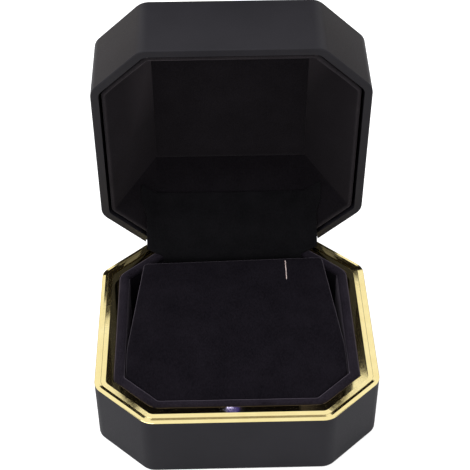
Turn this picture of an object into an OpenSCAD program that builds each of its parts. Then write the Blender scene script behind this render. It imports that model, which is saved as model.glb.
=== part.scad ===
// Octagonal ring display box with a lit, velvet-lined lid and a slanted pad.
// The lid is drawn closed and then turned about the hinge to the open pose.
// The origin is the centre of the underside, with the hinge towards +Y.

/* [Body] */
// Width and depth of the box across its flats
body_w = 90; // [84:1:100]
// Length cut off each corner, along a side
corner_cut = 16.5; // [14:0.5:19]
// Radius of the softened upright corners at the outer face
corner_r = 6.2; // [4.6:0.2:9]
// Wall thickness of both moulded shells
wall_t = 2.6; // [2.3:0.1:2.9]
// Taper of a shell wall over its height
wall_draft = 0.45; // [0.1:0.05:0.8]
// How far the lid has swung open
open_angle = 80; // [0:1:85]

/* [Base shell] */
// Height of the base shell under the gold rim
base_h = 21.4; // [19:0.2:26]
// Thickness of its floor
base_floor_t = 2; // [1.5:0.1:2.5]
// Rounding of its bottom edge
base_edge_r = 0.9; // [0.4:0.1:1.2]
// Depth of the recess for the felt inside the standing edge
foot_recess = 0.4; // [0.2:0.1:0.8]
// Width of the standing edge
foot_w = 7; // [4:0.5:12]

/* [Gold rim] */
// Width of the bright band
rim_band_w = 3.65; // [3.5:0.05:4]
// Height of the band above the base shell
rim_rise = 0.6; // [0.5:0.05:1]
// Upright edge at the foot of the outer bevel
rim_edge_h = 0.12; // [0.08:0.02:0.2]
// Width of the outer bevel
rim_bevel_w = 1.15; // [0.9:0.05:1.4]
// Rise of the outer bevel
rim_bevel_h = 0.23; // [0.15:0.01:0.3]
// Width of the face between the bevel and the line
rim_face_w = 0.85; // [0.6:0.05:1]
// Rise of that face
rim_face_h = 0.07; // [0.03:0.01:0.1]
// Width of the line between that face and the crown
rim_line_w = 0.2; // [0.1:0.05:0.3]
// Depth of that line
rim_line_d = 0.1; // [0.05:0.01:0.15]
// Width of the sunk ledge inside the band
rim_ledge_w = 2.4; // [1.8:0.1:2.6]
// Corner radius at the inner edge of the ledge
rim_in_r = 0.3; // [0.2:0.1:1]
// Drop from the crown to the ledge
rim_ledge_drop = 0.35; // [0.2:0.05:0.5]
// Thickness of the ledge and of the skirt
rim_t = 0.8; // [0.6:0.1:1]
// Depth of the skirt inside the shell
rim_skirt_h = 4; // [2:0.5:6]

/* [Tray] */
// Width of the padded velvet border
border_w = 3.05; // [2.4:0.05:3.4]
// Height of the border above the tray flange
border_h = 1.5; // [1:0.1:1.6]
// Wall thickness of the tray
tray_t = 1; // [0.8:0.1:1.4]
// Height of the tray floor over the shell floor
tray_lift = 2.5; // [1.5:0.1:3.5]
// Corner radius inside the tray
tray_r = 2; // [1:0.2:4]

/* [Pad] */
// Height of the pad's front edge above the underside
pad_front_z = 20.3; // [18:0.1:21.5]
// Height of its back edge above the underside
pad_back_z = 24.5; // [22:0.1:27]
// Half width of the pad at its back edge
pad_back_x = 30.6; // [26:0.2:32]
// Place of the back edge, from the middle of the box
pad_back_y = 28; // [26:0.2:29.5]
// Where the straight sides start to draw in, from the middle of the box
pad_waist_y = -12; // [-18:0.5:-6]
// Rise of the pad's crown
pad_crown = 0.5; // [0.2:0.1:1]
// How far the pad's sides draw in towards the bottom
pad_draw = 0.6; // [0.2:0.1:1.2]
// Rounding of the pad's upper edge
pad_edge_r = 1.3; // [0.8:0.1:2]
// Thickness of the velvet skin
velvet_t = 0.8; // [0.5:0.1:1.2]
// Thickness of the stiff board under the pad
pad_board_t = 1.2; // [0.8:0.1:2]
// Place of the slit, from the middle of the box
slit_x = 17.9; // [8:0.1:22]
// Length of the slit
slit_l = 9; // [6:0.5:14]
// Width of the slit
slit_w = 0.9; // [0.6:0.1:1.2]
// Depth of the slit
slit_d = 6; // [3:0.5:8]
// Distance of the slit from the back edge
slit_back = 1.6; // [1:0.1:4]

/* [Lid shell] */
// Outside height of the lid
lid_h = 25.1; // [24:0.1:30]
// Thickness of the lid's top
lid_top_t = 1.8; // [1.5:0.1:2]
// Rounding of the lid's top edge
lid_edge_r = 0.8; // [0.4:0.1:1.2]
// Break on the lid's lower outer edge
lid_lip_r = 0.25; // [0.1:0.05:0.4]
// Clear gap between the closed lid and the gold rim
lid_gap = 0.15; // [0.1:0.05:0.3]

/* [Lid lining] */
// Dark gap between the shell and the lining's lip
liner_gap = 0.8; // [0.6:0.1:1]
// Width of the lining's lip
liner_lip_w = 1; // [0.8:0.1:1.4]
// Set-back of the lip from the lid's rim
liner_sink = 0.45; // [0.2:0.05:1]
// How far the side slopes run in, from the lip to the flat panel in the roof
slope_side = 14.3; // [12:0.1:18]
// How far the front slope runs in
slope_front = 14.8; // [13.5:0.1:18]
// How far the back slope runs in
slope_back = 18.1; // [16:0.1:21]
// Thickness of the panel
panel_t = 0.8; // [0.6:0.1:1]
// Clear space between the panel and the lid's top, for the leads
panel_gap = 0.8; // [0.7:0.05:1.2]

/* [Hinge] */
// Outer radius of the hinge knuckles
knuckle_r = 1.6; // [1.3:0.05:1.7]
// Radius of the hinge pin
pin_r = 0.75; // [0.5:0.05:0.8]
// Space between each end of the hinge and the rounded corner inside the wall
hinge_end = 0.7; // [0.5:0.1:3]
// Drop of the hinge axis below the crown of the gold rim
hinge_drop = 0.2; // [0:0.05:0.4]
// Thickness of the hinge leaves
leaf_t = 0.6; // [0.4:0.05:0.8]
// Height of a leaf, from the hinge axis
leaf_h = 10.5; // [9:0.1:12]
// Length of the middle knuckle
knuckle_mid_l = 12; // [8:0.5:12.5]
// Length of each end knuckle
knuckle_end_l = 6; // [4:0.2:6.6]
// Length of each hinge spring
spring_l = 5.4; // [5:0.1:6.5]
// Wire diameter of the hinge springs
spring_wire = 0.35; // [0.25:0.05:0.45]
// Whole turns of each spring
spring_turns = 5; // [3:1:6]
// Width of the velvet strip over the hinge
strip_w = 59.5; // [54:0.5:62]
// Width of its upper end in the lid
strip_top_w = 63; // [60:0.5:63]
// Thickness of the strip
strip_t = 0.7; // [0.5:0.1:1]
// Width of its lower end inside the tray
strip_tab_w = 48; // [30:1:48]
// Length of the strip on the lid's back slope
strip_up = 15.3; // [10:0.1:18]
// Where the strip leaves that slope, from the lip
strip_leave = 8; // [5:0.1:9]
// Depth of the strip's lower end below the tray's border
strip_down = 12; // [8:0.5:14]

/* [Lamp and battery] */
// Radius of the lamp
led_r = 2.5; // [1.5:0.1:2.5]
// Length of the lamp's body
led_l = 3.3; // [2.8:0.1:3.4]
// Place of the lamp along the front slope, from the lip
led_along = 10.5; // [8:0.1:13]
// Depth of the lamp's round end below the lining's surface
led_sink = 1.7; // [1.2:0.1:2.2]
// Width of the lamp's trim ring
bezel_w = 1.1; // [0.8:0.1:1.5]
// Length of the circuit board
board_l = 26; // [20:1:27]
// Height of the circuit board
board_w = 7.4; // [6:0.2:7.6]
// Thickness of the circuit board
board_t = 1; // [0.6:0.1:1.2]
// Radius of the coin cell
cell_r = 6.25; // [5:0.05:6.25]
// Thickness of the coin cell
cell_t = 2; // [1.6:0.1:2.5]
// Space between the coin cell and the corner of the lid
cell_side = 1.2; // [1:0.1:4]
// Thickness of the battery clip
clip_t = 0.3; // [0.2:0.05:0.4]
// Radius of the leads
lead_r = 0.3; // [0.2:0.05:0.3]

/* [Switch] */
// Radius of the plunger
plunger_r = 0.7; // [0.5:0.05:0.8]
// Travel of the plunger
plunger_travel = 1.2; // [0.8:0.1:1.5]
// How far the middle of the switch lies inside the hinge's end
switch_in = 1.2; // [0.6:0.1:4]
// Width of the switch
switch_w = 7; // [5:0.2:7]
// Depth of the switch
switch_d = 3.8; // [3.2:0.1:3.8]
// Height of the switch
switch_h = 5; // [4.4:0.1:6]
// Running clearance around the plunger
switch_fit = 0.1; // [0.08:0.02:0.15]

/* [Screws] */
// Radius of the screw shanks
screw_r = 0.75; // [0.6:0.05:0.9]
// Radius of the screw heads
screw_head_r = 1.5; // [1.2:0.1:1.7]
// Thickness of the screw heads
screw_head_t = 0.7; // [0.5:0.1:0.9]
// Depth of the screws in the wall
screw_depth = 1.9; // [1.5:0.1:2]
// Width of leaf beyond the heads of the outer screws
screw_end = 1.2; // [0.8:0.1:2.5]
// Half distance between the inner screws
screw_in_x = 10; // [9:0.5:12]
// Place of the screws along a leaf, as a share of its height
screw_share = 0.62; // [0.55:0.01:0.7]

/* [Hidden] */

$fn = 48;
soft_black = "#38373b";
gold = "#e6c46a";
velvet = "#1b191e";
card = "#8c7a62";
foam = "#e8cfc9";
steel = "#b9bcc0";
board_green = "#2f6b45";
lamp_white = "#e9eef8";
switch_black = "#222226";
lead_red = "#a83232";

turn = 45;
side_turn = turn / 2;
clear = 0.1;
overlap = 0.3;
cut = 1;
slice = 0.01;

half = body_w / 2;
inner_r = corner_r - wall_t;
rim_top = base_h + rim_rise;
ledge_top = rim_top - rim_ledge_drop;
rim_in = rim_band_w + rim_ledge_w;

border_in = rim_in + overlap + border_w;
post_r = 4;
flange_top = ledge_top - rim_t - clear / 2;
tray_z = base_floor_t + tray_lift;
tray_in_z = tray_z + tray_t;
tray_half = half - border_in;

lid_z = rim_top + lid_gap;
lid_top = lid_z + lid_h;
lid_in_z = lid_top - lid_top_t;
panel_z = lid_in_z - panel_gap - panel_t;
liner_z = lid_z + liner_sink;
liner_out = wall_t + liner_gap;
liner_in = liner_out + liner_lip_w;
liner_half = half - liner_in;
panel_x = liner_half - slope_side;
panel_front_y = slope_front - liner_half;
panel_back_y = liner_half - slope_back;

hinge_y = half - knuckle_r;
hinge_z = rim_top - hinge_drop;
knuckle_clear = 0.15;
pin_running = 0.05;
pin_press = 0.01;
hinge_l = 2 * (flat_half(wall_t) - inner_r * tan(side_turn) - hinge_end);
knuckle_lid_l = (hinge_l - knuckle_mid_l) / 2 - knuckle_end_l - spring_l - 5 * knuckle_clear;
notch_y = hinge_y - knuckle_r - 2 * knuckle_clear - overlap;
base_notch_x = hinge_l / 2 + 2 * knuckle_clear;
lid_notch_x = half - corner_cut + knuckle_r + 2 * knuckle_clear;
notch_low = hinge_z - knuckle_r - knuckle_clear;
notch_high = hinge_z + knuckle_r + knuckle_clear;
lid_knuckle_x = knuckle_mid_l / 2 + knuckle_clear + knuckle_lid_l / 2;
end_knuckle_x = hinge_l / 2 - knuckle_end_l / 2;
screw_x = hinge_l / 2 - screw_head_r - screw_end;
screw_z = leaf_h * screw_share;
switch_x = hinge_l / 2 - switch_in;
cell_x = flat_half(wall_t) - cell_r - cell_side;

// Half length of a flat of the octagon at an inset from its outer face
function flat_half(inset) = half - corner_cut - inset * tan(side_turn);

// A point in the lid's closed place, carried to the open pose
function opened(p) = [hinge_y + (p[0] - hinge_y) * cos(open_angle) + (p[1] - hinge_z) * sin(open_angle),
  hinge_z - (p[0] - hinge_y) * sin(open_angle) + (p[1] - hinge_z) * cos(open_angle)];

// Points of a quarter or other arc in a profile
function arc(c, r, from, to, steps = 4) = [for (k = [0:steps])
  let (a = from + (to - from) * k / steps) [c[0] + r * cos(a), c[1] + r * sin(a)]];

function turned(p, a) = [p[0] * cos(a) - p[1] * sin(a), p[0] * sin(a) + p[1] * cos(a)];

// Corners of the octagon at an inset, anticlockwise
function corners(inset) = let (b = half - inset, a = flat_half(inset))
  [for (k = [0:3]) each [turned([b, a], 90 * k), turned([a, b], 90 * k)]];

// The octagon at an inset, with its corners rounded
module octagon(inset, r) {
  b = half - inset;
  a = flat_half(inset);
  t = r * tan(side_turn);
  s = t * sin(turn);
  polygon([for (k = [0:3]) each [for (p = [[b, t - a], [b, a - t], [b - s, a + s], [a + s, b - s]])
    turned(p, 90 * k)]]);
  for (k = [0:3])
    rotate(90 * k) {
      translate([b - r, a - t]) circle(r);
      translate([a - t, b - r]) circle(r);
    }
}

// A flat octagonal plate between two heights
module plate(inset, r, low, high) {
  translate([0, 0, low]) linear_extrude(high - low) octagon(inset, r);
}

// An octagonal wall between two insets and two heights
module wall(outer, inner, r, low, high) {
  difference() {
    plate(outer, r + inner - outer, low, high);
    plate(inner, r, low - cut, high + cut);
  }
}

// A solid octagon through levels of inset and height, each a thin slice
module form(levels) {
  hull()
    for (l = levels)
      plate(l[0], corner_r - l[0], l[1], l[1] + slice);
}

// A profile swept round the octagon: its first coordinate runs outwards from the inset
module ring(inset, r, profile) {
  b = half - inset;
  a = flat_half(inset);
  t = r * tan(side_turn);
  d = (a + b) * sin(turn);
  for (k = [0:3])
    rotate(90 * k) {
      rotate([90, 0, 0])
        linear_extrude(2 * (a - t), center = true) polygon([for (p = profile) [b + p[0], p[1]]]);
      rotate([90, 0, turn])
        linear_extrude((b - a) / sin(turn) - 2 * t, center = true)
          polygon([for (p = profile) [d + p[0], p[1]]]);
      for (c = [[b - r, a - t, 0], [a - t, b - r, turn]])
        translate([c[0], c[1], 0])
          rotate(c[2])
            rotate_extrude(angle = turn) polygon([for (p = profile) [r + p[0], p[1]]]);
    }
}

// Turns the lid's parts from their closed place to the open pose
module in_lid() {
  translate([0, hinge_y, hinge_z])
    rotate([-open_angle, 0, 0])
      translate([0, -hinge_y, -hinge_z]) children();
}

// A rod along X, centred at x on the hinge axis
module rod(x, r, l) {
  translate([x - l / 2, hinge_y, hinge_z]) rotate([0, 90, 0]) cylinder(r = r, h = l);
}

// The space that the hinge takes in a shell, over a half width
module hinge_notch(x) {
  translate([-x, notch_y, notch_low])
    cube([2 * x, half, notch_high - notch_low]);
}

// The places of the leaf screws: x and the side of the axis, -1 below and 1 above it
module at_screws(side) {
  for (x = [-screw_x, -screw_in_x, screw_in_x, screw_x])
    translate([x, hinge_y - knuckle_r, hinge_z + side * screw_z]) rotate([-90, 0, 0]) children();
}

module base_shell() {
  levels = concat(arc([wall_draft + base_edge_r, base_edge_r], base_edge_r, -90, -180),
    [[0, base_h - slice]]);
  color(soft_black)
    difference() {
      union() {
        difference() {
          form(levels);
          plate(wall_t, inner_r, base_floor_t, base_h + cut);
        }
        for (x = [-1, 1], y = [-1, 1])
          translate([x * half / 2, y * half / 2, base_floor_t / 2])
            cylinder(r = post_r, h = tray_z - base_floor_t / 2);
      }
      plate(foot_w, inner_r, -cut, foot_recess);
      hinge_notch(base_notch_x);
      at_screws(-1) cylinder(r = screw_r, h = leaf_t + screw_depth + clear);
    }
}

module foot_felt() {
  color(velvet) plate(foot_w + clear, inner_r, 0, foot_recess);
}

module gold_rim() {
  bevel_end = rim_band_w - rim_bevel_w;
  face_end = bevel_end - rim_face_w;
  bevel_z = base_h + rim_edge_h + rim_bevel_h;
  face_z = bevel_z + rim_face_h;
  edge_r = rim_line_w;
  profile = concat([[0, base_h - overlap], [rim_band_w - wall_t, base_h - overlap],
    [rim_band_w - wall_t, base_h], [rim_band_w, base_h], [rim_band_w, base_h + rim_edge_h],
    [bevel_end, bevel_z], [face_end, face_z], [face_end - rim_line_w / 2, face_z - rim_line_d],
    [face_end - rim_line_w, face_z]],
    arc([edge_r, rim_top - edge_r], edge_r, 90, 180, 4));
  skirt_out = wall_t + clear;
  color(gold)
    difference() {
      union() {
        ring(rim_band_w, corner_r - rim_band_w, profile);
        wall(rim_band_w - overlap, rim_in, rim_in_r, ledge_top - rim_t, ledge_top);
        wall(skirt_out, skirt_out + rim_t, corner_r - skirt_out - rim_t, base_h - rim_skirt_h, base_h - overlap / 2);
      }
      hinge_notch(base_notch_x);
      translate([-base_notch_x, notch_y, base_h - rim_skirt_h - cut])
        cube([2 * base_notch_x, half, rim_skirt_h + cut]);
    }
}

module tray_well() {
  outer = border_in - tray_t;
  color(velvet)
    difference() {
      union() {
        plate(outer, tray_r + tray_t, tray_z, flange_top);
        plate(rim_in + overlap, tray_r + border_w, flange_top - tray_t, flange_top);
      }
      plate(border_in, tray_r, tray_in_z, flange_top + cut);
    }
}

module tray_border() {
  base = 0.4;
  foot = base / 2;
  profile = concat([[0, flange_top + foot], [border_w, flange_top + foot]],
    [for (k = [0:8]) let (a = 180 * k / 8)
      [border_w / 2 * (1 + cos(a)), flange_top + base + (border_h - base) * pow(sin(a), 0.7)]]);
  color(velvet) {
    ring(border_in, tray_r, profile);
    wall(border_in - border_w + foot, border_in - foot, tray_r + foot, flange_top, flange_top + base);
  }
}

// The pad's outline, drawn in by an inset, with each side cut into short steps
pad_side = tray_half - overlap;
pad_corner = flat_half(border_in + overlap);
pad_steps = 6;
pad_mid = [0, (pad_back_y - pad_side) / 2];
pad_corners = [[-pad_corner, -pad_side], [pad_corner, -pad_side], [pad_side, -pad_corner],
  [pad_side, pad_waist_y], [pad_back_x, pad_back_y], [-pad_back_x, pad_back_y],
  [-pad_side, pad_waist_y], [-pad_side, -pad_corner]];
pad_n = len(pad_corners);
pad_outline = [for (i = [0:pad_n - 1], k = [0:pad_steps - 1])
  let (p = pad_corners[i], q = pad_corners[(i + 1) % pad_n]) p + (q - p) * k / pad_steps];

function pad_plane(y) = pad_front_z + (pad_back_z - pad_front_z) * (y + pad_side) / (pad_back_y + pad_side);

// One ring of the pad: the outline drawn in towards the middle by a length, at a depth below the crown
function pad_ring(inset, drop, crown, low = undef) = [for (p = pad_outline)
  let (v = pad_mid - p, q = p + v * min(1, inset / norm(v)), s = norm(q - pad_mid) / norm(v))
    [q[0], q[1], is_undef(low) ? pad_plane(q[1]) - drop + crown * (1 - s * s) : low]];

// The mean of a ring of points
function mean(points) = [for (c = [0:2]) ([for (p = points) 1] * [for (p = points) p[c]]) / len(points)];

// A closed form over a stack of rings that have the same number of points
module rings_form(rings) {
  n = len(rings[0]);
  m = len(rings);
  points = concat([for (r = rings) each r], [mean(rings[0]), mean(rings[m - 1])]);
  sides = [for (j = [0:m - 2], i = [0:n - 1]) let (a = j * n + i, b = j * n + (i + 1) % n)
    each [[a, a + n, b], [b, a + n, b + n]]];
  ends = [for (i = [0:n - 1]) let (k = (i + 1) % n)
    each [[m * n, i, k], [m * n + 1, (m - 1) * n + k, (m - 1) * n + i]]];
  polyhedron(points, concat(sides, ends));
}

// The padded form: upright sides that draw in a little, a rounded edge and a crown
module pad_form(skin, low) {
  r = pad_edge_r;
  edge = [for (a = [0, 30, 60, 90]) [r * (1 - cos(a)), r * (1 - sin(a))]];
  draw = pad_draw * (pad_front_z - low) / (pad_front_z - tray_in_z);
  rings_form(concat(
    [pad_ring(skin + draw, 0, 0, low)],
    [for (e = edge) pad_ring(skin + e[0], skin + e[1], pad_crown)],
    [for (k = [1:3]) pad_ring(skin + r + k * tray_half / 5, skin, pad_crown)]));
}

module slit(w, l, d) {
  y = pad_back_y - slit_back - slit_l / 2;
  translate([slit_x - w / 2, y - l / 2, pad_plane(y) - d])
    cube([w, l, d + 2 * pad_crown + cut]);
}

module pad_cover() {
  color(velvet)
    difference() {
      pad_form(0, tray_in_z + clear);
      pad_form(velvet_t, tray_in_z - cut);
      slit(slit_w, slit_l, slit_d);
    }
}

module pad_foam() {
  color(foam)
    difference() {
      pad_form(velvet_t + clear / 2, tray_in_z + 2 * clear + pad_board_t);
      slit(slit_w, slit_l + 2 * clear, slit_d);
    }
}

module pad_board() {
  color(card)
    translate([0, 0, tray_in_z + clear])
      linear_extrude(pad_board_t)
        polygon([for (p = pad_ring(velvet_t + pad_draw + clear, 0, 0, 0)) [p[0], p[1]]]);
}

// The strip's path in the YZ plane, from the tray over the hinge to the lid's back slope
slope_low = [liner_half, liner_z];
slope_high = [panel_back_y, panel_z];
slope_run = (slope_high - slope_low) / norm(slope_high - slope_low);
slope_lean = norm(slope_high - slope_low) / (slope_high[1] - slope_low[1]);
slope_off = [-slope_run[1], slope_run[0]] * (strip_t / 2 + 2 * clear);
strip_y = tray_half - strip_t / 2 - clear;
strip_lap = 1.5;
strip_bend = [strip_y + 1.5 * strip_t, rim_top + strip_t + overlap];
strip_tab = [[strip_y, flange_top - strip_down], [strip_y, flange_top + 1], strip_bend];
strip_low = [strip_bend, on_slope(strip_leave), on_slope(strip_leave + strip_lap)];

// A point on the strip's part that lies on the back slope, in the open pose
function on_slope(along) = opened(slope_low + slope_run * along + slope_off);

// A band of even thickness along a path, as one outline with mitred bends
function band(path, t) = let (n = len(path),
  runs = [for (i = [0:n - 2]) (path[i + 1] - path[i]) / norm(path[i + 1] - path[i])],
  sums = [for (i = [0:n - 1]) runs[max(i - 1, 0)] + runs[min(i, n - 2)]],
  off = [for (s = sums) [-s[1], s[0]] * t / (s * s)])
  concat([for (i = [0:n - 1]) path[i] + off[i]], [for (i = [n - 1:-1:0]) path[i] - off[i]]);

// The lining's hollow, drawn in evenly from its surface
module lined_hollow(gap) {
  liner_hollow(liner_in + gap * slope_lean, -gap * slope_lean, liner_z, panel_z);
}

// A tab inside the tray, the part over the hinge and the wide part that lies against the lining
module hinge_strip() {
  lap = strip_bend + (strip_low[1] - strip_bend) / norm(strip_low[1] - strip_bend) * strip_lap;
  color(velvet) {
    difference() {
      for (s = [[concat(strip_tab, [lap]), strip_tab_w], [strip_low, strip_w]])
        rotate([90, 0, 90]) linear_extrude(s[1], center = true) polygon(band(s[0], strip_t));
      in_lid() difference() {
        liner_hollow(liner_out - clear, liner_half - panel_x, liner_z, panel_z);
        lined_hollow(clear);
      }
    }
    in_lid() intersection() {
      difference() {
        lined_hollow(clear);
        lined_hollow(clear + strip_t);
      }
      translate([-strip_top_w / 2, panel_back_y, liner_z + slope_run[1] * (strip_leave - strip_lap)])
        cube([strip_top_w, half, slope_run[1] * (strip_up - strip_leave + strip_lap)]);
    }
  }
}

// One leaf: its plate, its knuckles and the tabs that join them, below the axis
module leaf(knuckles, side) {
  plate_z = knuckle_r + 2 * knuckle_clear;
  difference() {
    union() {
      translate([-hinge_l / 2, hinge_y - knuckle_r, side > 0 ? hinge_z + plate_z : hinge_z - leaf_h])
        cube([hinge_l, leaf_t, leaf_h - plate_z]);
      for (k = knuckles) {
        rod(k[0], knuckle_r, k[1]);
        translate([k[0] - k[1] / 2, hinge_y - knuckle_r, side > 0 ? hinge_z : hinge_z - plate_z - cut])
          cube([k[1], leaf_t, plate_z + cut]);
      }
    }
    rod(0, side > 0 ? pin_r + pin_running : pin_r - pin_press, body_w);
    at_screws(side) translate([0, 0, -cut]) cylinder(r = screw_r + clear, h = leaf_t + 2 * cut);
  }
}

module base_leaf() {
  color(steel)
    leaf([[-end_knuckle_x, knuckle_end_l], [0, knuckle_mid_l], [end_knuckle_x, knuckle_end_l]], -1);
}

module lid_leaf() {
  color(steel)
    in_lid() leaf([[-lid_knuckle_x, knuckle_lid_l], [lid_knuckle_x, knuckle_lid_l]], 1);
}

module hinge_pin() {
  color(steel) rod(0, pin_r, hinge_l);
}

// A round tube along a path of points, with its ends closed
module tube(path, r, sides) {
  n = len(path);
  dirs = [for (i = [0:n - 1]) let (a = path[max(i - 1, 0)], b = path[min(i + 1, n - 1)]) (b - a) / norm(b - a)];
  rings_form([for (i = [0:n - 1])
    let (d = dirs[i], u = cross(d, [1, 0, 0]), e = u / norm(u), f = cross(d, e))
      [for (k = [0:sides - 1]) let (a = 360 * k / sides) path[i] + r * (e * cos(a) + f * sin(a))]]);
}

// A torsion spring round the pin: one leg on each leaf
spring_r = (pin_r + knuckle_r) / 2;
function on_axis(a, r) = [r * cos(a), r * sin(a)];
function spring_point(x, p) = [x, hinge_y + p[0], hinge_z + p[1]];
leg_y = -knuckle_r - spring_wire / 2 - clear / 2;
leg = [[leg_y, screw_z], [leg_y, knuckle_r + spring_wire], [-spring_r, spring_r / 2]];
function spring_path(x0) = concat(
  [for (p = leg) spring_point(x0 + spring_wire, [p[0], -p[1]])],
  [for (k = [0:8 * spring_turns + 2]) let (s = k / (8 * spring_turns + 2))
    spring_point(x0 + spring_wire + s * (spring_l - 2 * spring_wire),
      on_axis(180 - s * (360 * spring_turns + open_angle), spring_r))],
  [for (k = [2:-1:0]) let (p = turned(leg[k], -open_angle)) spring_point(x0 + spring_l - spring_wire, p)]);

// Clear space between a wound path's turns, for a wire of a given diameter
function least_gap(path, wire) = min([for (i = [0:len(path) - 1], j = [i + 6:1:len(path) - 1])
  norm(path[i] - path[j])]) - wire;

module hinge_springs() {
  x0 = lid_knuckle_x + knuckle_lid_l / 2 + 2 * knuckle_clear;
  echo(spring_gap = least_gap(spring_path(x0), spring_wire));
  color(steel)
    for (side = [0, 1])
      mirror([side, 0, 0]) tube(spring_path(x0), spring_wire / 2, 6);
}

module leaf_screws(side) {
  at_screws(side) {
    translate([0, 0, -screw_head_t]) cylinder(r = screw_head_r, h = screw_head_t);
    translate([0, 0, -clear]) cylinder(r = screw_r - clear / 2, h = leaf_t + screw_depth + clear);
  }
}

module base_leaf_screws() {
  color(steel) leaf_screws(-1);
}

module lid_leaf_screws() {
  color(steel) in_lid() leaf_screws(1);
}

module lid_shell() {
  levels = concat([[lid_lip_r, lid_z], [0, lid_z + lid_lip_r]],
    arc([wall_draft + lid_edge_r, lid_top - lid_edge_r - slice], lid_edge_r, 180, 90));
  stop_r = 2;
  color(soft_black)
    in_lid()
      difference() {
        union() {
          difference() {
            form(levels);
            plate(wall_t, inner_r, lid_z - cut, lid_in_z);
          }
          for (x = [-1, 1], y = [panel_front_y + 2 * stop_r, panel_back_y - 2 * stop_r])
            translate([x * panel_x / 3, y, panel_z + panel_t + clear])
              cylinder(r = stop_r, h = panel_gap + lid_top_t / 2);
          at_cell() difference() {
            cylinder(r = cell_r + clear + rim_t, h = cell_t / 2);
            translate([0, 0, -cut]) cylinder(r = cell_r + clear, h = cell_t + 2 * cut);
          }
        }
        hinge_notch(lid_notch_x);
        at_screws(1) cylinder(r = screw_r, h = leaf_t + screw_depth + clear);
      }
}

// The hollow of the lining: an octagon at the rim that runs in to the oblong panel
module liner_hollow(inset, grow, low, high) {
  hull() {
    translate([0, 0, low]) linear_extrude(0.01) polygon(corners(inset));
    translate([-panel_x - grow, panel_front_y - grow, high])
      cube([2 * (panel_x + grow), panel_back_y - panel_front_y + 2 * grow, 0.01]);
  }
}

module lid_liner() {
  color(velvet)
    in_lid()
      difference() {
        liner_hollow(liner_out, 1.5, liner_z, panel_z + panel_t);
        liner_hollow(liner_in, 0, liner_z - 0.02, panel_z);
        translate([-panel_x, panel_front_y, panel_z])
          cube([2 * panel_x, panel_back_y - panel_front_y, panel_t + cut]);
        at_led() cylinder(r = led_r + bezel_w, h = 8, center = true);
        translate([switch_x - plunger_r - overlap, plunger_y - plunger_r - overlap, liner_z - cut])
          cube([2 * (plunger_r + overlap), 2 * (plunger_r + overlap), switch_z - liner_z + cut]);
      }
}

module lid_panel() {
  color(velvet)
    in_lid()
      translate([clear - panel_x, panel_front_y + clear, panel_z])
        cube([2 * (panel_x - clear), panel_back_y - panel_front_y - 2 * clear, panel_t]);
}

// The lamp's place on the front slope, with its axis pointing into the lid's hollow
front_run = [panel_front_y + liner_half, panel_z - liner_z];
front_lean = atan2(front_run[0], front_run[1]);
module at_led() {
  translate([0, -liner_half + led_along * sin(front_lean), liner_z + led_along * cos(front_lean)])
    rotate([-90 - front_lean, 0, 0]) children();
}

module led_lamp() {
  flange = 0.4;
  color(lamp_white)
    in_lid() at_led() translate([0, 0, -led_sink]) {
      translate([0, 0, -led_l]) cylinder(r = led_r, h = led_l);
      translate([0, 0, -led_l]) cylinder(r = led_r + flange, h = 1);
      intersection() {
        sphere(r = led_r);
        cylinder(r = led_r, h = led_r);
      }
      for (x = [-1.27, 1.27])
        translate([x, 0, -led_l - board_gap]) cylinder(r = 0.25, h = board_gap + clear);
    }
}

bezel_h = 3;
bezel_t = 0.5;
module led_bezel() {
  color(switch_black)
    in_lid() at_led() difference() {
      union() {
        translate([0, 0, -bezel_h]) cylinder(r = led_r + bezel_w - clear, h = bezel_h + clear + bezel_t);
        translate([0, 0, clear]) cylinder(r = led_r + bezel_w + rim_t, h = bezel_t);
      }
      translate([0, 0, -bezel_h - cut]) cylinder(r = led_r + clear, h = bezel_h + bezel_t + 2 * cut);
    }
}

// The circuit board stands square to the lamp, just behind it
board_gap = 0.6;
chip_w = 1.6;
chip_t = 0.5;
// Each small part on the board: its place as a share of the length, and its length in widths
chips = [[-0.35, 2], [0.23, 1]];
module circuit_board() {
  color(board_green)
    in_lid() at_led() translate([0, 0, -led_sink - led_l - board_gap - board_t]) {
      translate([-board_l / 2, -board_w / 2, 0]) cube([board_l, board_w, board_t]);
      for (c = chips)
        translate([c[0] * board_l, -chip_w / 2, board_t - clear]) cube([c[1] * chip_w, chip_w, chip_t + clear]);
    }
}

// The coin cell lies against the front wall of the lid
cell_z = lid_in_z - cell_r - rim_t - clear;
module at_cell() {
  translate([cell_x, -(half - wall_t), cell_z]) rotate([-90, 0, 0]) children();
}

module coin_cell() {
  bevel = 0.3;
  color(steel)
    in_lid() at_cell() translate([0, 0, clear]) {
      cylinder(r = cell_r, h = cell_t - bevel);
      translate([0, 0, cell_t - bevel]) cylinder(r = cell_r - 4 * bevel, h = bevel);
    }
}

module cell_clip() {
  clip_w = 5;
  color(steel)
    in_lid() at_cell() translate([0, 0, cell_t + 2 * clear]) {
      translate([-clip_w / 2, -cell_r - rim_t, 0]) cube([clip_w, 2 * cell_r + rim_t, clip_t]);
      translate([-cell_r - 2 * rim_t, -clip_w / 2, 0]) cube([2 * cell_r, clip_w, clip_t]);
    }
}

// The switch stands in the wedge behind the back slope, above the ledge of the gold rim
plunger_y = half - (rim_band_w + rim_in) / 2 + clear;
plunger_low = ledge_top + clear - plunger_travel;
switch_back = hinge_y - knuckle_r - clear;
switch_z = hinge_z + screw_z + screw_head_r + 2 * overlap;
module switch_body() {
  color(switch_black)
    in_lid() difference() {
      translate([switch_x - switch_w / 2, switch_back - switch_d, switch_z]) cube([switch_w, switch_d, switch_h]);
      translate([switch_x, plunger_y, switch_z - cut])
        cylinder(r = plunger_r + switch_fit, h = switch_h + cut - 0.8);
    }
}

module switch_plunger() {
  color(lamp_white)
    in_lid() translate([switch_x, plunger_y, plunger_low])
      cylinder(r = plunger_r, h = switch_z + 1.6 - plunger_low);
}

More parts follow.
